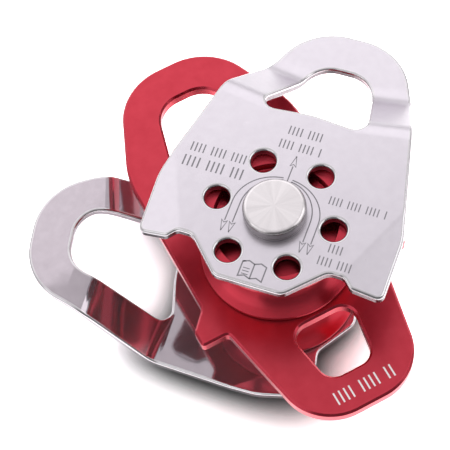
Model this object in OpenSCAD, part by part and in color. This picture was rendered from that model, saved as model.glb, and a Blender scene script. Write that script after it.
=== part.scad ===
// Double rope pulley with two swinging cheeks and a fixed middle plate.
//
// Frame: millimetres. +Z runs along the axle, from the rear cap's flat outer face at z = 0 to the front
// head. +Y runs from the axle along the middle plate, towards its connector eye.
// Everything on the axle is made once for the front half, at a height h above the middle plane,
// and the rear half is its mirror image.

/* [Axle] */
// Diameter of the axle's shank
shank_d = 8; // [7.5:0.1:8]
// Diameter of the two flat heads
head_d = 14; // [12.5:0.1:16]
// Height of each head above its cheek
head_h = 3.35; // [2:0.05:4]
// Rounding of a head's outer edge
head_round = 1; // [0.3:0.1:1.5]

/* [Sheaves] */
// Outer diameter of a sheave
sheave_d = 35.6; // [35:0.1:36]
// Width of a sheave between its two side faces
sheave_w = 15; // [14.5:0.1:16]
// Diameter of the rope tread, at the bottom of the groove
tread_d = 25; // [24:0.1:26]
// Width of each lip beside the groove
lip_w = 1; // [0.6:0.1:1.4]
// Outer radius of the recess in a sheave's side face
recess_r = 14; // [12:0.1:14.5]
// Depth of that recess
recess_depth = 2; // [0.5:0.1:2.2]

/* [Ball bearings] */
// Outer diameter of a bearing
bearing_d = 19; // [18.5:0.1:20]
// Width of a bearing
bearing_w = 6; // [5:0.1:6.5]
// Diameter of a ball
ball_d = 3; // [2.6:0.1:3.2]
// Number of balls in a bearing
ball_count = 9; // [6:1:10]

/* [Plates] */
// Thickness of the middle plate
plate_t = 3.2; // [3:0.1:4]
// Thickness of a cheek's sheet
cheek_t = 2.3; // [2:0.1:2.6]
// Gap between a sheave and the plate or cheek beside it
side_gap = 0.4; // [0.3:0.05:0.8]
// Gap between a cheek's eye and the middle plate
eye_gap = 0.35; // [0.3:0.05:1]
// Inner radius of the two bends that bring a cheek's eye in
bend_r = 3; // [1:0.5:5]
// Lean of those two bend lines, rising towards the cheek's sides, in degrees
bend_lean = 9; // [0:1:12]
// How far a cheek's ears are folded in, in degrees
ear_fold = 16; // [4:1:20]
// Diameter of a cheek's six holes
hole_d = 5.6; // [4:0.1:5.8]
// Radius of the circle that the six holes lie on
hole_circle_r = 13.5; // [13.2:0.1:14]

/* [Rest pose] */
// Angle of the front cheek from the middle plate, in degrees
front_cheek_turn = -47.6; // [-180:0.1:180]
// Angle of the rear cheek from the middle plate, in degrees
rear_cheek_turn = 54.2; // [-180:0.1:180]

/* [Hidden] */
$fn = 96;
// Straight steps in one rounded corner of an outline
corner_steps = 8;
// Play of a part that turns, along the axle and around it
axial_play = 0.05;
running_play = 0.05;
// Play of a part that is slid on the shank and clamped there
slip_play = 0.02;

// Heights above the middle plane, from the plate outwards
plate_h = plate_t / 2;
sheave_in = plate_h + side_gap;
sheave_out = sheave_in + sheave_w;
sheave_mid = sheave_in + sheave_w / 2;
cheek_in = sheave_out + side_gap;
cheek_out = cheek_in + cheek_t;
head_in = cheek_out + axial_play;
head_out = head_in + head_h;
eye_in = plate_h + eye_gap;
bearing_in = sheave_mid - bearing_w / 2;
bearing_out = sheave_mid + bearing_w / 2;

shank_r = shank_d / 2;
slip_r = shank_r + slip_play;
// Spacer sleeves, bush barrel and bush flange
spacer_r = 5.4;
bush_r = 5;
flange_r = 7;
flange_t = 0.35;
// The tip that the rear cap is pressed on stops this far below the cap's outer face
cap_floor = 1;
cap_grip = head_h - cap_floor;

// Ball bearing: the balls' circle, and the races' shoulders on each side of it
ball_r = ball_d / 2;
pitch_r = (shank_r + bearing_d / 2) / 2;
shoulder_gap = 1.15;
inner_race_r = pitch_r - shoulder_gap;
outer_race_r = pitch_r + shoulder_gap;
ball_play = 0.04;
// Cage: a ring with a square pocket for each ball
cage_wall = 0.5;
cage_rim = 0.3;
pocket_w = ball_d + 4 * ball_play;
cage_w = pocket_w + 2 * cage_rim;
shield_t = 0.3;
shield_inset = 0.3;
shield_play = 0.2;

// Seat of the bearing in its sheave: a shoulder on the inner side, a sprung ring on the outer side
seat_shoulder = 1;
ring_t = 1;
ring_groove_r = bearing_d / 2 + 0.5;
ring_inner_r = bearing_d / 2 - 1.1;
// Opening of the sprung ring, in degrees
ring_opening = 19;

// Size of the plain shapes that cut past the edge of another, and how far short cuts run past a face
far = 100;
past = 1;

// Where the outer face of a cheek's leg bends, as distances from the axle, and the leg's own distance
// from the centre line
bend_start_v = 28.2;
bend_end_v = 44.8;
leg_u = 16;
// Half width of the flat stretch below the eye, which the bends don't reach; its sides pass between the
// round holes
flat_u = 10.1;
// Two points of the line that an ear is folded on
ear_top = [27, 9];
ear_bottom = [18.5, -10.5];

// Radius of a corner that lies outside the part
far_corner = 0.1;

// Outlines: right half, from the top down, as [x, y, corner radius]
cheek_half = [
    [11.7, 59, 15], [18.4, 43.5, 20], [22.2, 30, 25], [28.5, 2.5, 15],
    [28.2, -12, 1.8], [21.1, -12.1, 1.5], [19.1, -10.3, 1.5], [15.6, -10.3, 3], [7.8, -18.2, 3]
];
plate_half = [
    [12.3, 58.5, 15], [22.1, 34.5, 25], [22.1, -4.2, 2.5], [26.2, -8.6, 1.4],
    [26.2, -12.6, 1], [19.7, -12.6, 1], [13.6, -42.4, 12.5]
];
eye_half = [[7, 49, 7], [12.9, 25.2, 2.9]];
// Middle of the eye's lower edge, a low rise between its two corners
eye_rise = [[0, 26.4, 25]];
becket_half = [[8.1, -18.8, 3.6], [5.6, -33.5, 3.8]];

// ---- Outline helpers ----

function unit(p) = p / norm(p);
function point(corner) = [corner[0], corner[1]];

// The rounded corner at b, on the path from a to c
function fillet(a, b, c, r) =
    let (
        back = unit(a - b),
        ahead = unit(c - b),
        half = acos(back * ahead) / 2,
        centre = b + unit(back + ahead) * r / sin(half),
        first = b + back * r / tan(half) - centre,
        last = b + ahead * r / tan(half) - centre,
        from = atan2(first[1], first[0]),
        turn = atan2(last[1], last[0]) - from,
        sweep = turn > 180 ? turn - 360 : turn < -180 ? turn + 360 : turn
    )
    [for (i = [0:corner_steps]) centre + r * [cos(from + sweep * i / corner_steps),
                                              sin(from + sweep * i / corner_steps)]];

function rounded(corners) =
    let (n = len(corners))
    [for (i = [0:n - 1]) each fillet(point(corners[(i + n - 1) % n]), point(corners[i]),
                                     point(corners[(i + 1) % n]), corners[i][2])];

function left_of(half) =
    [for (i = [len(half) - 1:-1:0]) [-half[i][0], half[i][1], half[i][2]]];

module outline(half, between = []) {
    polygon(rounded(concat(half, between, left_of(half))));
}

// ---- Placing ----

module front() {
    translate([0, 0, head_out]) children();
}

module rear() {
    translate([0, 0, head_out]) mirror([0, 0, 1]) children();
}

module sleeve(r_out, r_in, from, to) {
    translate([0, 0, from]) difference() {
        cylinder(h = to - from, r = r_out);
        translate([0, 0, -past]) cylinder(h = to - from + 2 * past, r = r_in);
    }
}

// ---- Axle and what is clamped on it ----

module button_head() {
    // Flat button with a rounded outer edge, from h = 0 outwards
    rotate_extrude() union() {
        square([head_d / 2, head_h - head_round]);
        square([head_d / 2 - head_round, head_h]);
        intersection() {
            translate([head_d / 2 - head_round, head_h - head_round]) circle(r = head_round);
            square([head_d / 2, head_h]);
        }
    }
}

module axle() {
    color("gainsboro") {
        front() translate([0, 0, head_in]) button_head();
        front() translate([0, 0, -head_in - cap_grip]) cylinder(h = 2 * head_in + cap_grip, r = shank_r);
    }
}

module rear_cap() {
    color("gainsboro") rear() translate([0, 0, head_in]) difference() {
        button_head();
        translate([0, 0, -past]) cylinder(h = past + cap_grip, r = shank_r);
    }
}

module cheek_bush() {
    color("tan") {
        sleeve(bush_r, slip_r, cheek_in - axial_play, head_in);
        sleeve(flange_r, slip_r, cheek_in - axial_play - flange_t, cheek_in - axial_play);
    }
}

module inner_spacer() {
    color("silver") sleeve(spacer_r, slip_r, plate_h, bearing_in);
}

module outer_spacer() {
    color("silver") sleeve(spacer_r, slip_r, bearing_out, cheek_in - axial_play - flange_t);
}

// ---- Bearing ----

module ball_track() {
    translate([0, 0, sheave_mid]) rotate_extrude() translate([pitch_r, 0]) circle(r = ball_r + ball_play);
}

module inner_race() {
    color("lightgray") difference() {
        sleeve(inner_race_r, slip_r, bearing_in, bearing_out);
        ball_track();
    }
}

module outer_race() {
    color("lightgray") difference() {
        sleeve(bearing_d / 2, outer_race_r, bearing_in, bearing_out);
        ball_track();
    }
}

module balls() {
    color("whitesmoke") for (i = [0:ball_count - 1])
        rotate([0, 0, 360 * i / ball_count]) translate([pitch_r, 0, sheave_mid]) sphere(r = ball_r, $fn = 32);
}

module ball_cage() {
    color("goldenrod") difference() {
        sleeve(pitch_r + cage_wall, pitch_r - cage_wall, sheave_mid - cage_w / 2, sheave_mid + cage_w / 2);
        for (i = [0:ball_count - 1])
            rotate([0, 0, 360 * i / ball_count]) translate([pitch_r, 0, sheave_mid])
                cube([4 * cage_wall, pocket_w, pocket_w], center = true);
    }
}

module shield(from) {
    color("dimgray") sleeve(outer_race_r, inner_race_r + shield_play, from, from + shield_t);
}

module retaining_ring() {
    // Open ring, sprung into the groove beside the bearing
    half_gap = bearing_d * tan(ring_opening / 2);
    color("dimgray") difference() {
        sleeve(ring_groove_r, ring_inner_r, bearing_out, bearing_out + ring_t);
        translate([0, 0, bearing_out - past]) linear_extrude(ring_t + 2 * past)
            polygon([[0, 0], [-half_gap, bearing_d], [half_gap, bearing_d]]);
    }
}

// ---- Sheave ----

module sheave() {
    groove_half_w = sheave_w / 2 - lip_w;
    groove_depth = (sheave_d - tread_d) / 2;
    groove_r = (pow(groove_half_w, 2) + pow(groove_depth, 2)) / (2 * groove_depth);
    color("firebrick") translate([0, 0, sheave_mid]) difference() {
        cylinder(h = sheave_w, r = sheave_d / 2, center = true);
        rotate_extrude() translate([tread_d / 2 + groove_r, 0]) circle(r = groove_r);
        for (side = [-1, 1])
            translate([0, 0, side * sheave_w / 2]) cylinder(h = 2 * recess_depth, r = recess_r, center = true);
        cylinder(h = sheave_w + past, r = bearing_d / 2 - seat_shoulder, center = true);
        translate([0, 0, -bearing_w / 2]) cylinder(h = sheave_w, r = bearing_d / 2);
        translate([0, 0, bearing_w / 2]) cylinder(h = ring_t, r = ring_groove_r);
    }
}

// ---- Middle plate ----

module middle_plate() {
    color("firebrick") front() translate([0, 0, -plate_h]) linear_extrude(plate_t) difference() {
        outline(plate_half);
        outline(eye_half, eye_rise);
        outline(becket_half);
        circle(r = slip_r);
    }
}

// ---- Cheek ----

// How much sooner a sheet's inner face bends than its outer face, at a bend of that angle
function bend_skew(angle) = cheek_t * tan(angle / 2);

// Everything under a section given as [distance, height, corner radius], with its start on the Y axis
module under(section) {
    rotate([90, 0, 90]) translate([0, 0, -far]) linear_extrude(2 * far)
        polygon(rounded(concat([[-far, section[0][1], far_corner]], section,
                               [[far, -far, far_corner], [-far, -far, far_corner]])));
}

// Everything under the right leg's face, where the face lies level at flat_h and then at eye_h
module under_leg(flat_h, eye_h, skew, first_r, second_r) {
    translate([leg_u, bend_start_v, 0]) rotate([0, 0, bend_lean]) translate([-leg_u, -bend_start_v, 0])
        under([[bend_start_v - skew, flat_h, first_r], [bend_end_v - skew, eye_h, second_r],
               [far, eye_h, far_corner]]);
}

// Everything under the right ear's face, which lies level at flat_h up to the fold
module under_ear(flat_h, skew) {
    fold = ear_bottom - ear_top;
    translate([ear_top[0], ear_top[1], 0]) rotate([0, 0, atan2(fold[1], fold[0])])
        under([[-skew, flat_h, far_corner], [far * cos(ear_fold), flat_h - far * sin(ear_fold), far_corner]]);
}

// Everything under one face of the whole bent sheet
module under_face(flat_h, eye_h, leg_skew, ear_skew, first_r, second_r) {
    intersection() {
        union() {
            under_leg(flat_h, eye_h, leg_skew, first_r, second_r);
            mirror([1, 0, 0]) under_leg(flat_h, eye_h, leg_skew, first_r, second_r);
            // The stretch below the eye, which the bends don't reach
            translate([-flat_u, -far, -far]) cube([2 * flat_u, far + bend_start_v, far + flat_h]);
        }
        under_ear(flat_h, ear_skew);
        mirror([1, 0, 0]) under_ear(flat_h, ear_skew);
    }
}

module cheek() {
    leg_skew = bend_skew(atan((cheek_in - eye_in) / (bend_end_v - bend_start_v)));
    color("gainsboro") difference() {
        intersection() {
            linear_extrude(cheek_out) difference() {
                outline(cheek_half);
                outline(eye_half, eye_rise);
            }
            under_face(cheek_out, eye_in + cheek_t, 0, 0, bend_r + cheek_t, bend_r);
        }
        under_face(cheek_in, eye_in, leg_skew, bend_skew(ear_fold), bend_r, bend_r + cheek_t);
        cylinder(h = 2 * cheek_out, r = bush_r + running_play);
        for (i = [0:5]) rotate([0, 0, 60 * i])
            translate([hole_circle_r, 0, cheek_in - past]) cylinder(h = cheek_t + 2 * past, r = hole_d / 2);
    }
}

middle_plate();
axle();
rear_cap();
front() cheek_bush();  // front_cheek_bush
rear() cheek_bush();  // rear_cheek_bush
front() inner_spacer();  // front_inner_spacer
rear() inner_spacer();  // rear_inner_spacer
front() outer_spacer();  // front_outer_spacer
rear() outer_spacer();  // rear_outer_spacer
front() inner_race();  // front_inner_race
rear() inner_race();  // rear_inner_race
front() rotate([0, 0, front_cheek_turn]) cheek();  // front_cheek
rear() rotate([0, 0, rear_cheek_turn]) cheek();  // rear_cheek
front() sheave();  // front_sheave
front() outer_race();  // front_outer_race
front() shield(bearing_in + shield_inset);  // front_inner_shield
front() shield(bearing_out - shield_inset - shield_t);  // front_outer_shield
front() retaining_ring();  // front_retaining_ring
rear() sheave();  // rear_sheave
rear() outer_race();  // rear_outer_race
rear() shield(bearing_in + shield_inset);  // rear_inner_shield
rear() shield(bearing_out - shield_inset - shield_t);  // rear_outer_shield
rear() retaining_ring();  // rear_retaining_ring
front() balls();  // front_balls
front() ball_cage();  // front_ball_cage
rear() balls();  // rear_balls
rear() ball_cage();  // rear_ball_cage
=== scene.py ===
"""Looks of a double rope pulley with two swinging cheeks and a fixed middle plate."""

import math

import bmesh
import bpy
import numpy as np
from mathutils import Matrix, Vector
from mathutils.geometry import delaunay_2d_cdt


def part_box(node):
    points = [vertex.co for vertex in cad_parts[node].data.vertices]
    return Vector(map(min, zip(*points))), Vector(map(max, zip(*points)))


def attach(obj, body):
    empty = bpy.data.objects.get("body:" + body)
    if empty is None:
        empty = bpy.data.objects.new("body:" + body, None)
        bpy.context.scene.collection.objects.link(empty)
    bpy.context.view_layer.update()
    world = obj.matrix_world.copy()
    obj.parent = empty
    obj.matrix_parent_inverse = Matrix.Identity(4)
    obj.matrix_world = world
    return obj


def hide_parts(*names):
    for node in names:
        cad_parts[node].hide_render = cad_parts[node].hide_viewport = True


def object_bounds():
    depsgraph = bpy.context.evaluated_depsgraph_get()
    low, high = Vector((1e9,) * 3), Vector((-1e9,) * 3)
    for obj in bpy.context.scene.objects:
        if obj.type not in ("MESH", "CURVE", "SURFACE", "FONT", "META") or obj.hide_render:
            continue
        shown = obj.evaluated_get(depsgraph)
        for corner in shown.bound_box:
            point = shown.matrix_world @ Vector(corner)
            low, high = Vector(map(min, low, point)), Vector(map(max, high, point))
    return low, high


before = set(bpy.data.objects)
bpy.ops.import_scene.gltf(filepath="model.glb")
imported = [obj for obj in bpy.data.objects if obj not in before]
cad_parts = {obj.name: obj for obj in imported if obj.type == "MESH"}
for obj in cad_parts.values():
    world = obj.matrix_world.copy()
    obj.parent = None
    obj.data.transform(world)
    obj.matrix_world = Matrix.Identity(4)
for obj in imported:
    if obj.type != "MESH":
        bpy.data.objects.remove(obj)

cad_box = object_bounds()
MM = 0.001

# ---- Sizes read from the frame, in millimetres ----


def node_box(node):
    low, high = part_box(node)
    return low / MM, high / MM


plate_low, plate_high = node_box("middle_plate")
cheek_low, cheek_high = node_box("front_cheek")
sheave_low, sheave_high = node_box("front_sheave")
axle_low, axle_high = node_box("axle")

MID = (plate_low.z + plate_high.z) / 2
PLATE_T = plate_high.z - plate_low.z
SHEAVE_R = sheave_high.x
SHEAVE_W = sheave_high.z - sheave_low.z
SHEAVE_H = (sheave_low.z + sheave_high.z) / 2 - MID
HEAD_R = axle_high.x
HEAD_OUT = axle_high.z - MID
SHANK_END = axle_low.z - MID
CHEEK_OUT = cheek_high.z - MID
EYE_IN = cheek_low.z - MID
HEAD_IN = node_box("front_cheek_bush")[1].z - MID
BEARING_R = node_box("front_outer_race")[1].x
BEARING_OUT = node_box("front_outer_race")[1].z - MID

# ---- Sizes of the shapes themselves, in millimetres, as the CAD model has them but for the bends ----

CHEEK_T = 2.3
SHEET_ROUND = 0.6
CHEEK_IN = CHEEK_OUT - CHEEK_T
FRONT_TURN = math.radians(-47.6)
REAR_TURN = math.radians(54.2)
BEND_START_V = 28.2
BEND_END_V = 44.8
# The photograph shows softer bends than a press would need, most of all the upper one
LOW_BEND_R, HIGH_BEND_R = 5, 9
BEND_LEAN = math.radians(9)
LEG_U = 16
FLAT_U = 10.1
EAR_FOLD = math.radians(16)
EAR_TOP = (27, 9)
EAR_BOTTOM = (18.5, -10.5)
HOLE_R = 2.8
HOLE_CIRCLE_R = 13.5
HOLE_COUNT = 6
BUSH_R = 5
BUSH_PLAY = 0.05
SHANK_R = 4
TREAD_R = 12.5
GROOVE_R = 6.5
LIP_W = 1
RECESS_R = 14
RECESS_DEPTH = 2
SEAT_SHOULDER = 1
RING_T = 1
RING_GROOVE = 0.5
HEAD_ROUND = 1
# A fine turned line near the base of each head
GROOVE_RISE = 0.75
GROOVE_W = 0.2
GROOVE_DEPTH = 0.18

# Right half of each outline, from the top down, as (x, y, corner radius)
CHEEK_HALF = [
    (11.7, 59, 15), (18.4, 43.5, 20), (22.2, 30, 25), (28.5, 2.5, 15), (28.2, -12, 1.8),
    (21.1, -12.1, 1.5), (19.1, -10.3, 1.5), (15.6, -10.3, 3), (7.8, -18.2, 3),
]
PLATE_HALF = [
    (12.3, 58.5, 15), (22.1, 34.5, 25), (22.1, -4.2, 2.5), (26.2, -8.6, 1.4),
    (26.2, -12.6, 1), (19.7, -12.6, 1), (13.6, -42.4, 12.5),
]
EYE_HALF = [(7, 49, 7), (12.9, 25.2, 2.9)]
EYE_RISE = [(0, 26.4, 25)]
BECKET_HALF = [(8.1, -18.8, 3.6), (5.6, -33.5, 3.8)]

# ---- Outlines and sections: points with their outward normals ----

FAR = 100
FAR_CORNER = 0.1


def unit(v):
    return v / np.linalg.norm(v)


def corner_arc(before, corner, after, radius, step):
    """The rounded corner's points, and their directions from the arc's centre times its turning side."""
    back = unit(before - corner)
    ahead = unit(after - corner)
    half = math.acos(np.clip(back @ ahead, -1, 1)) / 2
    centre = corner + unit(back + ahead) * radius / math.sin(half)
    first = corner + back * radius / math.tan(half) - centre
    last = corner + ahead * radius / math.tan(half) - centre
    start = math.atan2(first[1], first[0])
    sweep = (math.atan2(last[1], last[0]) - start + math.pi) % (2 * math.pi) - math.pi
    steps = max(3, math.ceil(abs(sweep) * radius / step), math.ceil(abs(sweep) / math.radians(18)))
    angles = start + sweep * np.arange(steps + 1) / steps
    spokes = np.stack([np.cos(angles), np.sin(angles)], 1)
    return centre + radius * spokes, spokes * np.sign(sweep)


def rounded(corners, step=0.5):
    """A closed path of rounded corners (x, y, radius): its points and its outward normals."""
    places = [np.array(c[:2], float) for c in corners]
    count = len(places)
    arcs = []
    for i, (_, _, radius) in enumerate(corners):
        arcs.append(corner_arc(places[i - 1], places[i], places[(i + 1) % count], radius, step))
    points, normals = [], []
    for i, (arc, spokes) in enumerate(arcs):
        points.extend(arc)
        normals.extend(spokes)
        ahead = arcs[(i + 1) % count][0][0]
        pieces = math.ceil(np.linalg.norm(ahead - arc[-1]) / step)
        for k in range(1, pieces):
            points.append(arc[-1] + (ahead - arc[-1]) * k / pieces)
            normals.append(normals[-1])
    points = np.array(points)
    return points, np.array(normals) * np.sign(signed_area(points))


def signed_area(loop):
    following = np.roll(loop, -1, 0)
    return 0.5 * np.sum(loop[:, 0] * following[:, 1] - loop[:, 1] * following[:, 0])


def both_halves(half, between=()):
    return [*half, *between, *[(-x, y, r) for x, y, r in reversed(half)]]


def circle(radius, centre=(0, 0), step=0.4):
    count = math.ceil(2 * math.pi * radius / step)
    angles = 2 * math.pi * np.arange(count) / count
    normals = np.stack([np.cos(angles), np.sin(angles)], 1)
    return np.array(centre) + radius * normals, normals


def edge_section(thickness, corner, radius, step=0.12):
    """Section of a sheet's edge from its outer face round to its inner face, as (inset, depth), with its
    outward normals. The two corners are cut by a chamfer of size corner, or only rounded if that is 0."""
    if corner:
        turns = [(corner, 0), (0, corner), (0, thickness - corner), (corner, thickness)]
    else:
        turns = [(0, 0), (0, thickness)]
    path = [(x, y, radius) for x, y in turns]
    points, normals = rounded([(FAR, 0, FAR_CORNER), *path, (FAR, thickness, FAR_CORNER)], step)
    keep = points[:, 0] < corner + 1.2 * radius
    return points[keep], normals[keep]


# ---- Meshes ----


def placed(points, directions, place):
    """Points and directions after the turn and move of a 4x4 matrix in millimetres."""
    matrix = np.array(place)
    turn = matrix[:3, :3].T
    return np.array(points) @ turn + matrix[:3, 3], np.array(directions) @ turn


def new_mesh(name, vertices, normals, faces, parts, flip=False):
    """A smooth mesh from points in millimetres, with given vertex normals and a material number per face."""
    mesh = bpy.data.meshes.new(name)
    if flip:
        faces = [tuple(reversed(f)) for f in faces]
    mesh.from_pydata([tuple(v) for v in np.asarray(vertices) * MM], [], faces)
    mesh.polygons.foreach_set("material_index", parts)
    mesh.polygons.foreach_set("use_smooth", [True] * len(faces))
    mesh.update()
    mesh.normals_split_custom_set_from_vertices([tuple(unit(n)) for n in np.asarray(normals)])
    obj = bpy.data.objects.new(name, mesh)
    bpy.context.scene.collection.objects.link(obj)
    return obj


def inside(points, loop):
    """Which of the points lie inside a closed loop."""
    x, y = points[:, :1], points[:, 1:]
    x0, y0 = loop.T
    x1, y1 = np.roll(loop, -1, 0).T
    with np.errstate(divide="ignore", invalid="ignore"):
        crosses = ((y0 > y) != (y1 > y)) & (x < (x1 - x0) * (y - y0) / (y1 - y0) + x0)
    return crosses.sum(1) % 2 == 1


def clear_of(points, loops, gap):
    """The points that lie in the sheet and further than gap from all of its edges."""
    keep = inside(points, loops[0])
    for loop in loops[1:]:
        keep &= ~inside(points, loop)
    points = points[keep]
    edges = np.concatenate(loops)
    near = [np.min(np.sum((edges - p) ** 2, 1)) > gap * gap for p in points]
    return points[np.array(near, bool)] if len(points) else points


def fill(loops, loose):
    """Triangles between closed loops, the first of which is the outer one, with loose points inside.
    Vertex numbers run through the loops, then through the loose points."""
    starts = np.cumsum([0, *[len(loop) for loop in loops]])
    edges = []
    for loop, start in zip(loops, starts):
        edges += [(start + k, start + (k + 1) % len(loop)) for k in range(len(loop))]
    points = np.concatenate([*loops, loose]) if len(loose) else np.concatenate(loops)
    _, _, faces, first, _, _ = delaunay_2d_cdt([Vector(p) for p in points], edges, [], 1, 1e-7)
    faces = np.array([[first[i][0] for i in f] for f in faces])
    middles = points[faces].mean(1)
    keep = inside(middles, loops[0])
    for loop in loops[1:]:
        keep &= ~inside(middles, loop)
    faces = faces[keep]
    a, b, c = points[faces[:, 0]], points[faces[:, 1]], points[faces[:, 2]]
    turn = (b[:, 0] - a[:, 0]) * (c[:, 1] - a[:, 1]) - (b[:, 1] - a[:, 1]) * (c[:, 0] - a[:, 0])
    faces[turn < 0] = faces[turn < 0][:, ::-1]
    return faces


OUTER, INNER, RIM, WALL = 0, 1, 2, 3
LOOSE_GAP = 0.3
# A band of the edge counts as wall where its normals lean less than this towards the faces
UPRIGHT = 0.1


class Sheet:
    """A sheet with rounded or chamfered edges, whose height over the plan is a function of the depth."""

    def __init__(self, outer, holes, section, shape, loose=()):
        self.loops = [outer, *[(points, -normals) for points, normals in holes]]
        self.section = section
        self.shape = shape
        self.vertices, self.normals, self.faces, self.parts = [], [], [], []
        rings = [self.walls(*loop, is_hole=i > 0) for i, loop in enumerate(self.loops)]
        self.cap([r[0] for r in rings], loose, section[0][0][1], 1)
        self.cap([r[-1] for r in rings], loose, section[0][-1][1], -1)

    def add(self, plan, away, depth, outwards, upwards):
        """Vertices over the plan, with normals that lean outwards along away, and upwards from the face."""
        start = len(self.vertices)
        for p, a, (height, tilt) in zip(plan, away, self.shape(plan, depth)):
            self.vertices.append((p[0], p[1], height))
            self.normals.append(outwards * np.array([a[0], a[1], 0]) + upwards * tilt)
        return start

    def walls(self, plan, away, is_hole):
        rings = []
        _, section_normals = self.section
        for (inset, depth), (back, down) in zip(*self.section):
            place = plan - away * inset
            rings.append((place, self.add(place, away, depth, -back, -down)))
        sheet_on_left = (signed_area(plan) > 0) != is_hole
        count = len(plan)
        for i, ((_, upper), (_, lower)) in enumerate(zip(rings, rings[1:])):
            upright = max(abs(section_normals[i][1]), abs(section_normals[i + 1][1])) < UPRIGHT
            for k in range(count):
                ahead = (k + 1) % count
                face = (upper + k, lower + k, lower + ahead, upper + ahead)
                self.faces.append(face if sheet_on_left else face[::-1])
                self.parts.append(WALL if upright else RIM)
        return rings

    def cap(self, rings, loose, depth, side):
        plans = [plan for plan, _ in rings]
        loose = clear_of(np.array(loose), plans, LOOSE_GAP) if len(loose) else np.zeros((0, 2))
        numbers = [start + k for plan, start in rings for k in range(len(plan))]
        start = self.add(loose, np.zeros_like(loose), depth, 0, side)
        numbers += range(start, start + len(loose))
        for triangle in fill(plans, loose):
            face = tuple(numbers[i] for i in triangle)
            self.faces.append(face if side > 0 else face[::-1])
            self.parts.append(OUTER if side > 0 else INNER)

    def make(self, name, place, mirrored=False):
        """The mesh object, with place a 4x4 matrix in millimetres."""
        vertices, normals = placed(self.vertices, self.normals, place)
        return new_mesh(name, vertices, normals, self.faces, self.parts, mirrored)


def lathe(name, corners, place, mirrored=False, solid=False, segments=160, step=0.25):
    """A turned part from a closed section of rounded corners (radius, height, corner radius).
    A solid part's section runs from its top face round to its base, and is closed on the axis."""
    if solid:
        corners = [(-FAR, corners[0][1], FAR_CORNER), *corners, (-FAR, corners[-1][1], FAR_CORNER)]
    points, normals = rounded(corners, step)
    forwards = signed_area(points) > 0
    if solid:
        kept = points[:, 0] > step / 2
        points, normals = points[kept], normals[kept]
    angles = 2 * math.pi * np.arange(segments) / segments
    around = np.stack([np.cos(angles), np.sin(angles)], 1)
    vertices, directions, faces = [], [], []
    for (r, h), (out, up) in zip(points, normals):
        vertices += [(*spoke * r, h) for spoke in around]
        directions += [(*spoke * out, up) for spoke in around]
    count = len(points)
    for i in range(count - 1 if solid else count):
        j = (i + 1) % count
        for k in range(segments):
            ahead = (k + 1) % segments
            faces.append((i * segments + k, i * segments + ahead, j * segments + ahead, j * segments + k))
    if solid:
        for ring, up in ((0, 1), (count - 1, -1)):
            centre = len(vertices)
            vertices.append((0, 0, points[ring][1]))
            directions.append((0, 0, up))
            for k in range(segments):
                here, there = ring * segments + k, ring * segments + (k + 1) % segments
                faces.append((centre, there, here) if ring == 0 else (centre, here, there))
    if not forwards:
        faces = [face[::-1] for face in faces]
    vertices, directions = placed(vertices, directions, place)
    return new_mesh(name, vertices, directions, faces, [0] * len(faces), mirrored)


# ---- Places of the two mirrored halves ----


def front_place(turn=0):
    return Matrix.Translation((0, 0, MID)) @ Matrix.Rotation(turn, 4, "Z")


def rear_place(turn=0):
    mirror = Matrix.Diagonal((1, 1, -1, 1))
    return Matrix.Translation((0, 0, MID)) @ mirror @ Matrix.Rotation(turn, 4, "Z")


# ---- The cheeks' bent sheet ----

EAR_ROUNDING = 2.2
# The folded faces lean far less than the closing sides of their sections
LEAST_UP = 0.3


class Profile:
    """A face's height and normal along one direction, from a section of rounded corners."""

    def __init__(self, corners):
        start = (-FAR, corners[0][1], FAR_CORNER)
        path = [start, *corners, (FAR, -2 * FAR, FAR_CORNER), (-FAR, -2 * FAR, FAR_CORNER)]
        points, normals = rounded(path, 0.25)
        upper = normals[:, 1] > LEAST_UP
        order = np.argsort(points[upper, 0], kind="stable")
        self.at = points[upper][order, 0]
        self.heights = points[upper][order, 1]
        self.normals = normals[upper][order]

    def __call__(self, w):
        height = np.interp(w, self.at, self.heights)
        along = np.interp(w, self.at, self.normals[:, 0])
        return height, along, np.interp(w, self.at, self.normals[:, 1])

    def turns(self):
        """The places where this face is curved."""
        along = self.normals[:, 0]
        return self.at[1:-1][(np.abs(along[2:] - along[:-2]) > 1e-4)]


def bend_skew(angle):
    return CHEEK_T * math.tan(angle / 2)


LEG_SLOPE = math.atan((CHEEK_IN - EYE_IN) / (BEND_END_V - BEND_START_V))
outer_leg = Profile([(BEND_START_V, CHEEK_OUT, LOW_BEND_R + CHEEK_T),
                     (BEND_END_V, EYE_IN + CHEEK_T, HIGH_BEND_R), (FAR, EYE_IN + CHEEK_T, FAR_CORNER)])
LEG_SKEW = bend_skew(LEG_SLOPE)
inner_leg = Profile([(BEND_START_V - LEG_SKEW, CHEEK_IN, LOW_BEND_R),
                     (BEND_END_V - LEG_SKEW, EYE_IN, HIGH_BEND_R + CHEEK_T), (FAR, EYE_IN, FAR_CORNER)])
EAR_DROP = FAR * math.tan(EAR_FOLD)
EAR_SKEW = bend_skew(EAR_FOLD)
outer_ear = Profile([(0, 0, EAR_ROUNDING + CHEEK_T), (FAR, -EAR_DROP, FAR_CORNER)])
inner_ear = Profile([(-EAR_SKEW, 0, EAR_ROUNDING), (FAR, -EAR_DROP, FAR_CORNER)])

ear_line = unit(np.array(EAR_TOP) - np.array(EAR_BOTTOM))
EAR_AWAY = np.array([ear_line[1], -ear_line[0]])
LEG_AWAY = np.array([-math.sin(BEND_LEAN), math.cos(BEND_LEAN)])


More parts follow.
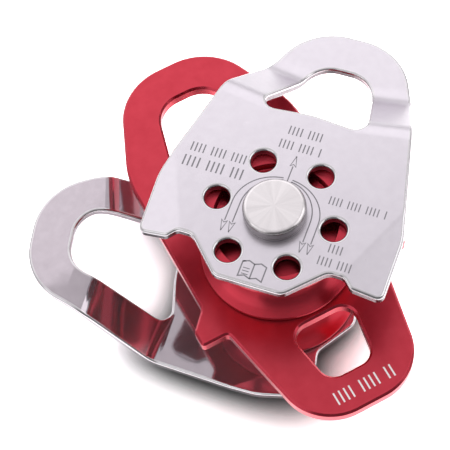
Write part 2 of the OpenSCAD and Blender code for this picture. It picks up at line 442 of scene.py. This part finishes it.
def face_of(plan, leg, ear):
    """Height and normal of one face of the right and left halves alike."""
    side = np.where(plan[:, 0] < 0, -1, 1)
    folded = np.stack([np.abs(plan[:, 0]), plan[:, 1]], 1)
    along_leg = (folded - (LEG_U, BEND_START_V)) @ LEG_AWAY + BEND_START_V
    level = (folded[:, 0] < FLAT_U) & (folded[:, 1] < BEND_START_V)
    along_leg[level] = 0
    height, lean, up = leg(along_leg)
    drop, fold_lean, fold_up = ear((folded - EAR_TOP) @ EAR_AWAY)
    tilt = lean[:, None] * LEG_AWAY + fold_lean[:, None] * EAR_AWAY
    normals = np.stack([tilt[:, 0] * side, tilt[:, 1], up * fold_up], 1)
    return height + drop, normals


def cheek_shape(plan, depth):
    if not len(plan):
        return []
    top, top_normals = face_of(plan, outer_leg, outer_ear)
    bottom, bottom_normals = face_of(plan, inner_leg, inner_ear)
    share = depth / CHEEK_T
    heights = top + (bottom - top) * share
    return zip(heights, top_normals + (bottom_normals - top_normals) * share)


def cheek_loose_points():
    """Rows of points along the bends and the ears' folds, and a wide grid elsewhere."""
    right = []
    for at in np.unique(np.round(np.concatenate([outer_leg.turns(), inner_leg.turns()]), 2)):
        middle = np.array([LEG_U, BEND_START_V]) + (at - BEND_START_V) * LEG_AWAY
        across = np.array([LEG_AWAY[1], -LEG_AWAY[0]])
        right += [middle + across * k for k in np.arange(-LEG_U, LEG_U, 0.7)]
    for at in np.unique(np.round(np.concatenate([outer_ear.turns(), inner_ear.turns()]), 2)):
        right += [np.array(EAR_TOP) + at * EAR_AWAY + ear_line * k for k in np.arange(-28, 8, 0.7)]
    right += [np.array([u, v]) for u in np.arange(1.5, 30, 3) for v in np.arange(-18, 60, 3)]
    right = [p for p in right if p[0] > 0.2]
    return right + [np.array([-p[0], p[1]]) for p in right]


def cheek_sheet():
    holes = [rounded(both_halves(EYE_HALF, EYE_RISE)), circle(BUSH_R + BUSH_PLAY)]
    for i in range(HOLE_COUNT):
        angle = 2 * math.pi * i / HOLE_COUNT
        centre = (HOLE_CIRCLE_R * math.cos(angle), HOLE_CIRCLE_R * math.sin(angle))
        holes.append(circle(HOLE_R, centre, 0.3))
    outer = rounded(both_halves(CHEEK_HALF))
    return Sheet(outer, holes, edge_section(CHEEK_T, 0, SHEET_ROUND), cheek_shape, cheek_loose_points())


# ---- The middle plate ----

PLATE_CHAMFER = 0.5


def flat_shape(plan, depth):
    return [(PLATE_T / 2 - depth, np.array([0, 0, 1.0]))] * len(plan)


def plate_sheet():
    outer = rounded(both_halves(PLATE_HALF))
    holes = [rounded(both_halves(EYE_HALF, EYE_RISE)), rounded(both_halves(BECKET_HALF)), circle(SHANK_R)]
    return Sheet(outer, holes, edge_section(PLATE_T, PLATE_CHAMFER, 0.15), flat_shape)


# ---- Turned parts ----


def groove_apex(tread_r, radius, lip_r, lip_h):
    """Where the two lines that run from the lips tangent to the groove's round bottom meet."""
    centre = tread_r + radius
    to_lip = np.array([lip_r - centre, lip_h])
    distance = np.linalg.norm(to_lip)
    bearing = math.atan2(to_lip[1], -to_lip[0]) - math.acos(radius / distance)
    return centre - radius / math.cos(bearing)


def sheave_section():
    half = SHEAVE_W / 2
    lip_h = half - LIP_W
    apex = groove_apex(TREAD_R, GROOVE_R, SHEAVE_R, lip_h)
    floor_h = half - RECESS_DEPTH
    seat = BEARING_OUT - SHEAVE_H
    shoulder = BEARING_R - SEAT_SHOULDER
    ring = BEARING_R + RING_GROOVE
    return [
        (shoulder, -floor_h, 0.3), (RECESS_R, -floor_h, 0.4), (RECESS_R, -half, 0.25),
        (SHEAVE_R, -half, 0.3), (SHEAVE_R, -lip_h, 0.2), (apex, 0, GROOVE_R), (SHEAVE_R, lip_h, 0.2),
        (SHEAVE_R, half, 0.3), (RECESS_R, half, 0.25), (RECESS_R, floor_h, 0.4), (BEARING_R, floor_h, 0.3),
        (BEARING_R, seat + RING_T, 0.03), (ring, seat + RING_T, 0.03),
        (ring, seat, 0.03), (BEARING_R, seat, 0.03),
        (BEARING_R, -seat, 0.1), (shoulder, -seat, 0.1),
    ]


def axle_section():
    """A flat button head with a fine groove near its base, and the long shank under it."""
    return [*button_corners(), (SHANK_R, HEAD_IN, 0.1), (SHANK_R, SHANK_END, 0.4)]


def cap_section():
    """The same button with a blind bore for the shank's tip."""
    return [*button_corners(), (SHANK_R, HEAD_IN, 0.2), (SHANK_R, -SHANK_END, 0.1)]


def button_corners():
    groove = HEAD_IN + GROOVE_RISE
    inside_r = HEAD_R - GROOVE_DEPTH
    return [
        (HEAD_R, HEAD_OUT, HEAD_ROUND), (HEAD_R, groove + GROOVE_W / 2, 0.04),
        (inside_r, groove + GROOVE_W / 3, 0.02), (inside_r, groove - GROOVE_W / 3, 0.02),
        (HEAD_R, groove - GROOVE_W / 2, 0.04), (HEAD_R, HEAD_IN, 0.15),
    ]


# ---- Marks: flat ribbons laid just proud of a face ----

MARK_PROUD = 0.015
MARK_SUNK = 0.05


class Marks:
    """Thin flat shapes on one face, gathered in one mesh."""

    def __init__(self, face_h):
        self.top = face_h + MARK_PROUD
        self.bottom = face_h - MARK_SUNK
        self.vertices, self.faces = [], []

    def strip(self, left, right, closed=False):
        """A ribbon between two rows of points."""
        start = len(self.vertices)
        for a, b in zip(left, right):
            self.vertices += [(*a, self.top), (*b, self.top), (*b, self.bottom), (*a, self.bottom)]
        count = len(left)
        for k in range(count if closed else count - 1):
            here = start + 4 * k
            there = start + 4 * ((k + 1) % count)
            for i in range(4):
                j = (i + 1) % 4
                self.faces.append((here + i, here + j, there + j, there + i))
        if not closed:
            last = start + 4 * (count - 1)
            self.faces.append((start + 3, start + 2, start + 1, start))
            self.faces.append((last, last + 1, last + 2, last + 3))

    def line(self, points, width):
        """A line of that width through the points, with mitred corners."""
        points = np.array(points, float)
        steps = np.diff(points, axis=0)
        sides = np.array([unit(np.array([-d[1], d[0]])) for d in steps])
        mitres = [unit(a + b) / max(0.5, unit(a + b) @ a) for a, b in zip(sides, sides[1:])]
        shift = np.array([sides[0], *mitres, sides[-1]]) * width / 2
        self.strip(points + shift, points - shift)

    def arrow_head(self, tip, back, width):
        """The outline of a slim arrow head with swept-back wings."""
        tip, back = np.array(tip, float), np.array(back, float)
        along = tip - back
        side = np.array([-along[1], along[0]]) / np.linalg.norm(along) * width / 2
        notch = back + 0.2 * along
        self.line([tip, back + side, notch, back - side, tip], 0.2)

    def ticks(self, centre, length, height, angle=0.0, group=4):
        """A row of upright strokes in groups, centred on a point and turned by angle."""
        pitch = height * 0.42
        count = round(length / pitch)
        along = np.array([math.cos(angle), math.sin(angle)])
        up = np.array([-along[1], along[0]]) * height / 2
        for k in range(count):
            if k % (group + 1) == group:
                continue
            middle = np.array(centre) + along * (k - (count - 1) / 2) * pitch
            self.line([middle - up, middle + up], height * 0.13)

    def make(self, name, place):
        matrix = np.array(place)
        vertices = np.array(self.vertices) @ matrix[:3, :3].T + matrix[:3, 3]
        mesh = bpy.data.meshes.new(name)
        mesh.from_pydata([tuple(v) for v in vertices * MM], [], self.faces)
        obj = bpy.data.objects.new(name, mesh)
        bpy.context.scene.collection.objects.link(obj)
        turn_outwards(mesh)
        return obj


def turn_outwards(mesh):
    edit = bmesh.new()
    edit.from_mesh(mesh)
    bmesh.ops.recalc_face_normals(edit, faces=edit.faces)
    edit.to_mesh(mesh)
    edit.free()


# ---- Looks: procedural materials on the object's own coordinates, in millimetres ----


# A quarter turn, from along the rings that a lathe leaves to across them
ACROSS_RINGS = 0.25


def map_range(nodes, links, value, *ends):
    """The node that spreads value from the first two ends to the last two."""
    node = nodes.new("ShaderNodeMapRange")
    for name, end in zip(("From Min", "From Max", "To Min", "To Max"), ends):
        node.inputs[name].default_value = end
    links.new(value, node.inputs["Value"])
    return node


class Look:
    """A Principled material whose colour, roughness and bump vary by its nodes."""

    def __init__(self, name, roughness, **constants):
        self.material = bpy.data.materials.new(name)
        self.material.use_nodes = True
        tree = self.material.node_tree
        self.nodes, self.links = tree.nodes, tree.links
        self.shader = self.nodes["Principled BSDF"]
        self.shader.inputs["Roughness"].default_value = roughness
        self.roughness = roughness
        self.height = None
        for socket, value in constants.items():
            self.shader.inputs[socket.replace("_", " ")].default_value = value
        place = self.node("ShaderNodeMapping", Scale=(1 / MM, 1 / MM, 1 / MM))
        self.links.new(self.node("ShaderNodeTexCoord").outputs["Object"], place.inputs["Vector"])
        self.place = place.outputs["Vector"]

    def node(self, kind, **inputs):
        node = self.nodes.new(kind)
        for name, value in inputs.items():
            socket = node.inputs[name]
            if isinstance(value, bpy.types.NodeSocket):
                self.links.new(value, socket)
            else:
                socket.default_value = value
        return node

    def maths(self, operation, *values):
        node = self.nodes.new("ShaderNodeMath")
        node.operation = operation
        for socket, value in zip(node.inputs, values):
            if isinstance(value, bpy.types.NodeSocket):
                self.links.new(value, socket)
            else:
                socket.default_value = value
        return node.outputs[0]

    def noise(self, scale, detail=3, stretch=(1, 1, 1), turn=0.0):
        """Noise of about scale bumps to a millimetre, stretched along an axis."""
        spot = self.node("ShaderNodeMapping", Vector=self.place, Scale=stretch, Rotation=(0, 0, turn))
        noise = self.node("ShaderNodeTexNoise", Vector=spot.outputs["Vector"], Scale=scale, Detail=detail)
        return noise.outputs["Fac"]

    def radius(self):
        parts = self.node("ShaderNodeSeparateXYZ", Vector=self.place)
        square = self.maths("MULTIPLY", parts.outputs["X"], parts.outputs["X"])
        return self.maths("SQRT", self.maths("MULTIPLY_ADD", parts.outputs["Y"], parts.outputs["Y"], square))

    def turned(self, scale, detail=2):
        """Noise that runs in rings around the axle, as a lathe leaves it."""
        parts = self.node("ShaderNodeSeparateXYZ", Vector=self.place)
        flat = self.node("ShaderNodeCombineXYZ", X=self.radius(), Y=parts.outputs["Z"])
        noise = self.node("ShaderNodeTexNoise", Vector=flat.outputs["Vector"], Scale=scale, Detail=detail)
        return noise.outputs["Fac"]

    def spokes(self, scale):
        """Noise that only changes around the axle, in wedges."""
        flat = self.node("ShaderNodeVectorMath", Vector=self.place)
        flat.operation = "MULTIPLY"
        flat.inputs[1].default_value = (1, 1, 0)
        spoke = self.node("ShaderNodeVectorMath", Vector=flat.outputs["Vector"])
        spoke.operation = "NORMALIZE"
        noise = self.node("ShaderNodeTexNoise", Vector=spoke.outputs["Vector"], Scale=scale, Detail=4)
        return noise.outputs["Fac"]

    def steps(self, value, low, high):
        """value, spread so that low becomes 0 and high becomes 1."""
        return map_range(self.nodes, self.links, value, low, high).outputs["Result"]

    def colours(self, value, first, second):
        ramp = self.nodes.new("ShaderNodeMix")
        ramp.data_type = "RGBA"
        self.links.new(value, ramp.inputs["Factor"])
        ramp.inputs["A"].default_value = (*first, 1)
        ramp.inputs["B"].default_value = (*second, 1)
        self.links.new(ramp.outputs["Result"], self.shader.inputs["Base Color"])
        return self

    def paint_shade(self, value, share):
        """Darkens the colour by share where value is 1."""
        socket = self.shader.inputs["Base Color"]
        scaled = self.node("ShaderNodeVectorMath", Vector=socket.links[0].from_socket)
        scaled.operation = "SCALE"
        self.links.new(self.maths("MULTIPLY_ADD", value, -share, 1), scaled.inputs["Scale"])
        self.links.new(scaled.outputs["Vector"], socket)
        return self

    def rougher(self, value, spread):
        """Roughness that varies by value (0 to 1) by spread each way."""
        start = self.roughness - spread
        socket = self.shader.inputs["Roughness"]
        self.links.new(self.maths("MULTIPLY_ADD", value, 2 * spread, start), socket)
        return self

    def bump(self, value, depth):
        """Relief of that depth in millimetres. Later calls add to it."""
        bump = self.node("ShaderNodeBump", Height=value, Distance=depth * MM)
        if self.height:
            self.links.new(self.height, bump.inputs["Normal"])
        self.height = bump.outputs["Normal"]
        self.links.new(self.height, self.shader.inputs["Normal"])
        return self

    def radial(self, amount):
        """Highlights drawn out across turned rings."""
        tangent = self.nodes.new("ShaderNodeTangent")
        tangent.direction_type = "RADIAL"
        tangent.axis = "Z"
        self.links.new(tangent.outputs["Tangent"], self.shader.inputs["Tangent"])
        self.shader.inputs["Anisotropic"].default_value = amount
        self.shader.inputs["Anisotropic Rotation"].default_value = ACROSS_RINGS
        return self


def scratches(look, angle, share=0.03):
    """Sparse fine scratches that run one way, as 1 on a scratch and 0 elsewhere."""
    return look.steps(look.noise(1.4, 1, (0.06, 4, 4), angle), 0.72 - share, 0.72 + share)


def satin_steel():
    look = Look("satin_steel", 0.3, Metallic=1)
    look.colours(look.noise(0.5, 4), (0.57, 0.53, 0.58), (0.635, 0.595, 0.645))
    look.rougher(look.noise(1.3, 5), 0.05)
    look.bump(look.noise(0.22, 2), 0.03)
    look.bump(look.noise(9, 2, (0.25, 1, 1), math.radians(20)), 0.0012)
    return look.bump(scratches(look, math.radians(35)), 0.0015).material


def mirror_steel():
    look = Look("mirror_steel", 0.07, Metallic=0.89)
    # Polished, as the cheeks' inner faces really are, but darker and more purple than the satin faces' same
    # steel: painted shade for the dimmer reflections on the rear cheek's upturned face
    look.colours(look.noise(0.4, 3), (0.39, 0.345, 0.38), (0.47, 0.42, 0.46))
    look.rougher(look.noise(0.9, 4), 0.03)
    look.bump(look.noise(0.12, 1), 0.05)
    return look.bump(scratches(look, math.radians(-20)), 0.001).material


def rim_steel():
    look = Look("rim_steel", 0.18, Metallic=1)
    look.colours(look.noise(0.8, 4), (0.50, 0.48, 0.50), (0.62, 0.60, 0.62))
    look.rougher(look.noise(2, 4), 0.05)
    return look.bump(look.noise(3, 3), 0.004).material


def dark_wall_steel():
    """The upright band of a sheet's edge, in a darker steel than its faces."""
    look = Look("dark_wall_steel", 0.24, Metallic=1)
    look.colours(look.noise(1.2, 4, (1, 1, 0.2)), (0.16, 0.15, 0.16), (0.28, 0.26, 0.28))
    look.rougher(look.noise(2, 4), 0.06)
    return look.bump(look.noise(3, 3, (1, 1, 0.15)), 0.005).material


RED_DARK = (0.42, 0.024, 0.041)
RED_LIGHT = (0.53, 0.042, 0.066)


def red_anodised():
    look = Look("red_anodised", 0.34, Metallic=0.88, Coat_Weight=0.12, Coat_Roughness=0.12)
    look.colours(look.noise(0.35, 4), RED_DARK, RED_LIGHT)
    look.rougher(look.noise(1.5, 4), 0.05)
    look.bump(look.noise(14, 2), 0.0016)
    return look.bump(scratches(look, math.radians(60), 0.02), 0.001).material


def red_edge():
    look = Look("red_edge", 0.24, Metallic=0.92, Coat_Weight=0.1, Coat_Roughness=0.1)
    look.colours(look.noise(0.5, 4), RED_DARK, (0.54, 0.05, 0.08))
    look.rougher(look.noise(2.2, 3), 0.05)
    return look.bump(look.noise(5, 2, (1, 1, 0.2)), 0.003).material


def red_turned():
    look = Look("red_turned", 0.3, Metallic=0.95, Coat_Weight=0.1, Coat_Roughness=0.08)
    look.colours(look.turned(0.6, 3), RED_DARK, RED_LIGHT)
    look.rougher(look.noise(1.2, 3), 0.04)
    look.bump(look.turned(3), 0.0008)
    return look.radial(0.85).material


def turned_steel():
    look = Look("turned_steel", 0.24, Metallic=1)
    # Painted sheen: the colour is lighter and darker in wedges round the axle, in place of the bright and
    # dark sectors of a turned face's highlight
    look.colours(look.steps(look.spokes(2.5), 0.25, 0.75), (0.60, 0.565, 0.58), (0.74, 0.70, 0.715))
    # Painted shade: the colour darkens towards the edge of the head's rounded rim
    look.paint_shade(look.steps(look.radius(), HEAD_R - HEAD_ROUND * 0.6, HEAD_R), 0.55)
    look.rougher(look.turned(5), 0.07)
    look.bump(look.turned(7), 0.003)
    return look.radial(0.75).material


def plain_metal(name, first, second, roughness, grain):
    """Turned or pressed metal with faint rings and stains."""
    look = Look(name, roughness, Metallic=1)
    look.colours(look.noise(1.1, 4), first, second)
    look.rougher(look.noise(2.5, 4), 0.06)
    look.bump(look.turned(6), 0.002)
    return look.bump(look.noise(grain, 3), 0.004).material


def etched():
    look = Look("etched_mark", 0.55, Metallic=0.4)
    look.colours(look.noise(3, 3), (0.17, 0.16, 0.18), (0.27, 0.26, 0.28))
    look.rougher(look.noise(5, 3), 0.1)
    return look.bump(look.noise(10, 2), 0.004).material


def white_ink():
    look = Look("white_ink", 0.5)
    look.colours(look.noise(2.5, 4), (0.72, 0.66, 0.67), (0.92, 0.90, 0.90))
    look.rougher(look.noise(4, 3), 0.1)
    return look.bump(look.noise(8, 2), 0.004).material


lathe_steel = turned_steel()
bearing_steel = plain_metal("bearing_steel", (0.62, 0.62, 0.64), (0.76, 0.76, 0.78), 0.12, 2)
CARRIED_OVER = {
    "spacer": plain_metal("spacer_steel", (0.50, 0.49, 0.50), (0.66, 0.65, 0.66), 0.28, 4),
    "race": bearing_steel,
    "balls": bearing_steel,
    "shield": plain_metal("shield_steel", (0.40, 0.40, 0.42), (0.55, 0.55, 0.57), 0.3, 5),
    "ring": plain_metal("spring_steel", (0.09, 0.085, 0.08), (0.16, 0.15, 0.14), 0.38, 5),
    "bush": plain_metal("bush_bronze", (0.45, 0.27, 0.12), (0.62, 0.40, 0.20), 0.36, 3),
    "cage": plain_metal("cage_brass", (0.62, 0.42, 0.14), (0.78, 0.56, 0.24), 0.26, 4),
}

for name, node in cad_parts.items():
    kind = name.split("_")[-1]
    if kind in CARRIED_OVER:
        node.data.materials.clear()
        node.data.materials.append(CARRIED_OVER[kind])

# ---- Pieces ----


def piece(obj, body, slot, materials, *nodes):
    """Gives a piece its materials and its body, and hides the CAD nodes that it stands for. Its slot is not
    used.
    """
    for material in materials:
        obj.data.materials.append(material)
    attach(obj, body)
    if nodes:
        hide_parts(*nodes)
    return obj


front_turned = front_place(FRONT_TURN)
rear_turned = rear_place(REAR_TURN)
sheet_looks = [satin_steel(), mirror_steel(), rim_steel(), dark_wall_steel()]
cheek = cheek_sheet()
front_sheet = cheek.make("front_cheek_sheet", front_turned)
piece(front_sheet, "front_cheek", "polished_steel", sheet_looks, "front_cheek")
rear_sheet = cheek.make("rear_cheek_sheet", rear_turned, True)
piece(rear_sheet, "rear_cheek", "polished_steel", sheet_looks, "rear_cheek")

red_faces = red_anodised()
plate_looks = [red_faces, red_faces, red_edge(), red_edge()]
plate = plate_sheet().make("middle_plate_body", front_place())
piece(plate, "axle_frame", "red_anodised", plate_looks, "middle_plate")

turned_looks = [lathe_steel]
axle = lathe("axle_turned", axle_section(), front_place(), solid=True)
piece(axle, "axle_frame", "turned_steel", turned_looks, "axle")
cap = lathe("rear_cap_turned", cap_section(), rear_place(), True, solid=True)
piece(cap, "axle_frame", "turned_steel", turned_looks, "rear_cap")

sheave_up = Matrix.Translation((0, 0, SHEAVE_H))
sheave_looks = [red_turned()]
front_wheel = lathe("front_sheave_turned", sheave_section(), front_place() @ sheave_up)
piece(front_wheel, "front_sheave", "red_anodised_turned", sheave_looks, "front_sheave")
rear_wheel = lathe("rear_sheave_turned", sheave_section(), rear_place() @ sheave_up, True)
piece(rear_wheel, "rear_sheave", "red_anodised_turned", sheave_looks, "rear_sheave")

# ---- Marks on the faces ----

LINE_W = 0.26


def rope_path(side, half_w, rise, low):
    """A line that runs over the head and down one side of it, to an arrow that points down."""
    angles = np.radians(np.linspace(84, 0, 29))
    points = [(side * half_w * math.cos(a), rise * math.sin(a)) for a in angles]
    marks.line([*points, (side * half_w, low)], LINE_W)
    marks.arrow_head((side * half_w, low - 2.6), (side * half_w, low), 1.35)


def open_book(x, y, w, h):
    """Outline of an open book, with its two pages' curved edges."""
    across = np.linspace(-1, 1, 9)
    top = [(x + w * s / 2, y + h * (0.5 + 0.14 * (1 - abs(2 * abs(s) - 1)))) for s in across]
    bottom = [(px, py - h) for px, py in reversed(top)]
    marks.line([*top, *bottom, top[0], top[1]], 0.3)
    marks.line([top[4], bottom[4]], 0.3)
    for line in (0.3, 0.5, 0.7):
        level = y + h * (0.42 - line)
        marks.line([(x - w * 0.4, level), (x - w * 0.12, level)], 0.2)


marks = Marks(CHEEK_OUT)
marks.line([(0, HEAD_R + 0.3), (0, 12.2)], LINE_W)
marks.arrow_head((0, 14.9), (0, 12.2), 1.35)
for side in (-1, 1):
    rope_path(side, 8.1, 8.4, -5)
    rope_path(side, 9.9, 8.9, -5)
open_book(0, -15, 5.4, 3.6)
marks.ticks((0, 21), 8.6, 2.2)
marks.ticks((0, 17.2), 10.4, 2.2)
marks.ticks((-17, 10.6), 13.4, 2.3)
marks.ticks((-17, 6.8), 14.6, 2.7)
marks.ticks((16.8, 6.6), 13.6, 2)
marks.ticks((15.8, -4.6), 4.8, 2.1)
marks.ticks((16.2, -8), 7.8, 2.1)
piece(marks.make("front_cheek_marks", front_turned), "front_cheek", "polished_steel", [etched()])

marks = Marks(PLATE_T / 2)
marks.ticks((0.5, -38), 15.5, 3)
piece(marks.make("middle_plate_marks", front_place()), "axle_frame", "red_anodised", [white_ink()])

# ---- Floor, light and camera ----

FLOOR_GAP = 0.02 * MM
FLOOR_HALF = 3
# The floor's colour is painted past white, as in a studio shot on a white ground, and whiter still in a
# painted pool of light round the object
POOL_WHITE, FLOOR_WHITE = 2.6, 1.2
POOL_IN, POOL_OUT = 0.07, 0.12
# Reach and depth of the painted contact shadow, darkened into the floor's colour by ambient occlusion
PAINTED_SHADOW_REACH = 0.011
PAINTED_SHADOW_DEPTH = 3.2
object_low, object_high = cad_box
MIDDLE = (object_low + object_high) / 2


def floor():
    mesh = bpy.data.meshes.new("floor")
    height = object_low.z - FLOOR_GAP
    ends = (-FLOOR_HALF, FLOOR_HALF)
    corners = [(x, y, height) for y in ends for x in ends]
    mesh.from_pydata(corners, [], [(0, 1, 3, 2)])
    obj = bpy.data.objects.new("floor", mesh)
    bpy.context.scene.collection.objects.link(obj)
    material = bpy.data.materials.new("floor_white")
    material.use_nodes = True
    nodes = material.node_tree.nodes
    links = material.node_tree.links
    # Painted contact shadow: the floor's colour darkens by ambient occlusion close to the object
    near = nodes.new("ShaderNodeAmbientOcclusion")
    near.inputs["Distance"].default_value = PAINTED_SHADOW_REACH
    painted_shadow = nodes.new("ShaderNodeMath")
    painted_shadow.operation = "POWER"
    painted_shadow.inputs[1].default_value = PAINTED_SHADOW_DEPTH
    links.new(near.outputs["AO"], painted_shadow.inputs[0])
    white = nodes.new("ShaderNodeVectorMath")
    white.operation = "SCALE"
    white.inputs[0].default_value = (1, 1, 1)
    links.new(floor_pool(nodes, links, painted_shadow.outputs[0]), white.inputs["Scale"])
    matt = nodes.new("ShaderNodeBsdfDiffuse")
    links.new(white.outputs["Vector"], matt.inputs["Color"])
    links.new(matt.outputs["BSDF"], nodes["Material Output"].inputs["Surface"])
    mesh.materials.append(material)


def floor_pool(nodes, links, share):
    """The floor's colour, painted whiter in a pool of light round the object, times share, the painted
    contact shadow.
    """
    place = nodes.new("ShaderNodeTexCoord")
    distance = nodes.new("ShaderNodeVectorMath")
    distance.operation = "LENGTH"
    links.new(place.outputs["Object"], distance.inputs[0])
    ends = (POOL_IN, POOL_OUT, POOL_WHITE, FLOOR_WHITE)
    pool = map_range(nodes, links, distance.outputs["Value"], *ends)
    product = nodes.new("ShaderNodeMath")
    product.operation = "MULTIPLY"
    links.new(pool.outputs["Result"], product.inputs[0])
    links.new(share, product.inputs[1])
    return product.outputs[0]


def softbox(name, azimuth, elevation, distance, width, height, radiance):
    """An area light that faces the object from a direction given as the camera's is."""
    light = bpy.data.lights.new(name, "AREA")
    light.shape = "RECTANGLE"
    light.size = width
    light.size_y = height
    light.energy = radiance * width * height * math.pi
    obj = bpy.data.objects.new(name, light)
    away = direction(azimuth, elevation)
    obj.location = MIDDLE + away * distance
    obj.rotation_euler = away.to_track_quat("Z", "Y").to_euler()
    bpy.context.scene.collection.objects.link(obj)


def direction(azimuth, elevation):
    """Unit vector from the object towards a place seen at that azimuth (0 is -Y, 90 is +X) and height."""
    a, e = math.radians(azimuth), math.radians(elevation)
    return Vector((math.sin(a) * math.cos(e), -math.cos(a) * math.cos(e), math.sin(e)))


# The studio is bright above and behind the object and dim in front of it, along this direction
BRIGHT_SIDE = (0.1, 0.5, 0.6)
DIM, BRIGHT = -0.05, 0.62
DIM_RADIANCE, BRIGHT_RADIANCE = 0.2, 0.98


def surroundings():
    world = bpy.data.worlds.new("studio")
    world.use_nodes = True
    nodes, links = world.node_tree.nodes, world.node_tree.links
    place = nodes.new("ShaderNodeTexCoord")
    along = nodes.new("ShaderNodeVectorMath")
    along.operation = "DOT_PRODUCT"
    along.inputs[1].default_value = BRIGHT_SIDE
    links.new(place.outputs["Generated"], along.inputs[0])
    ends = (DIM, BRIGHT, DIM_RADIANCE, BRIGHT_RADIANCE)
    spread = map_range(nodes, links, along.outputs["Value"], *ends)
    spread.interpolation_type = "SMOOTHSTEP"
    shade = nodes["Background"]
    shade.inputs["Color"].default_value = (1, 0.99, 1, 1)
    links.new(spread.outputs["Result"], shade.inputs["Strength"])
    bpy.context.scene.world = world


CAMERA_AZIMUTH = -19.3
CAMERA_ELEVATION = 61.68
CAMERA_ROLL = math.radians(-9.43)
LENS = 125
SENSOR = 36
# Where the middle of the front cheek's face appears, as shares of the frame's width from its centre
SEEN_RIGHT = 0.11092
SEEN_UP = 0.0272
SEEN_DISTANCE = 0.3408


def camera():
    data = bpy.data.cameras.new("camera")
    data.lens = LENS
    data.sensor_width = SENSOR
    data.clip_start = 0.01
    obj = bpy.data.objects.new("camera", data)
    back = direction(CAMERA_AZIMUTH, CAMERA_ELEVATION)
    level = Vector((0, 0, 1)).cross(back).normalized()
    upright = back.cross(level)
    right = level * math.cos(CAMERA_ROLL) + upright * math.sin(CAMERA_ROLL)
    up = upright * math.cos(CAMERA_ROLL) - level * math.sin(CAMERA_ROLL)
    frame_w = SEEN_DISTANCE * SENSOR / LENS
    seen = Vector((0, 0, (MID + CHEEK_OUT) * MM))
    place = seen - right * SEEN_RIGHT * frame_w - up * SEEN_UP * frame_w + back * SEEN_DISTANCE
    turn = Matrix((right, up, back)).transposed()
    obj.matrix_world = Matrix.Translation(place) @ turn.to_4x4()
    bpy.context.scene.collection.objects.link(obj)
    bpy.context.scene.camera = obj


floor()
surroundings()
softbox("back_softbox", 165, 38, 0.45, 0.7, 0.4, 0.55)
softbox("left_softbox", -80, 32, 0.6, 0.5, 0.5, 0.9)
softbox("right_softbox", 62, 32, 0.6, 0.5, 0.5, 1.3)
camera()
bpy.context.scene.view_settings.view_transform = "Standard"
